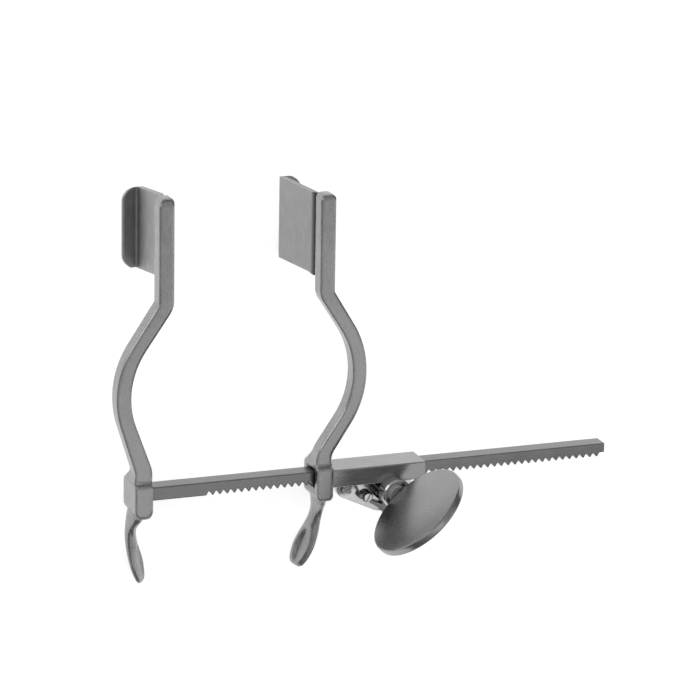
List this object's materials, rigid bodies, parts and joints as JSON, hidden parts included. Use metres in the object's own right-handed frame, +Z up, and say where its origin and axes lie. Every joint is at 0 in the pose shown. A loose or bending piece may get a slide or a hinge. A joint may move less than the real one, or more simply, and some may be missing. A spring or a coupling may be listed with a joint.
{
  "type": "self retaining retractor",
  "caption": "Self retaining chest retractor with bowed arms and bent blades on a toothed bar; a round thumb plate drives the sliding arm through a pinion, and a pawl holds it.",
  "frame": {"origin": "centre of the bounding box at floor level, with the instrument lying on its blades and finger tangs", "axes": "+X along the toothed bar towards its free end, +Y from the bar towards the blades, +Z up"},
  "size_m": [0.2432, 0.182, 0.0766],
  "materials": {
    "satin_steel": "satin",
    "bright_steel": "polished",
    "spring_steel": "smooth",
    "bearing_bronze": "smooth"
  },
  "bodies": {
    "frame_body": {"fixed_arm": "satin_steel", "fixed_blade": "satin_steel", "rack_bar": "satin_steel", "rack_pin": "bright_steel"},
    "slide_body": {"sliding_arm": "satin_steel", "sliding_blade": "satin_steel", "slide_housing": "satin_steel", "housing_dowels": "bright_steel", "carrier_plate": "satin_steel", "carrier_screws": "bright_steel", "front_bearing": "satin_steel", "bearing_dowels": "bright_steel", "front_bush": "bearing_bronze", "back_bush": "bearing_bronze", "pawl_pivot_screw": "bright_steel", "pawl_spring": "spring_steel", "spring_screw": "bright_steel"},
    "pinion_body": {"drive_shaft": "bright_steel", "pinion_gear": "bright_steel", "pinion_key_pin": "bright_steel", "end_washer": "bright_steel", "end_screw": "bright_steel", "thumb_plate": "satin_steel"},
    "pawl_body": {"pawl": "satin_steel"}
  },
  "joints": [
    {"name": "rack_slide", "type": "slide", "parent": "frame_body", "child": "slide_body", "axis": [1, 0, 0], "range_m": [-0.063, 0.0875]},
    {"name": "pinion_turn", "type": "hinge", "parent": "slide_body", "child": "pinion_body", "pos_m": [0.01282, -0.0574, 0.01396], "axis": [0, -0.3133, 0.9496], "range_deg": [-545, 755]},
    {"name": "pawl_swing", "type": "hinge", "parent": "slide_body", "child": "pawl_body", "pos_m": [0.00382, -0.06233, 0.01233], "axis": [0, -0.3133, 0.9496], "range_deg": [0, 11]}
  ],
  "couplings": [
    {"joint": "pinion_turn", "follows": "rack_slide", "rad_per_m": 149.6}
  ]
}
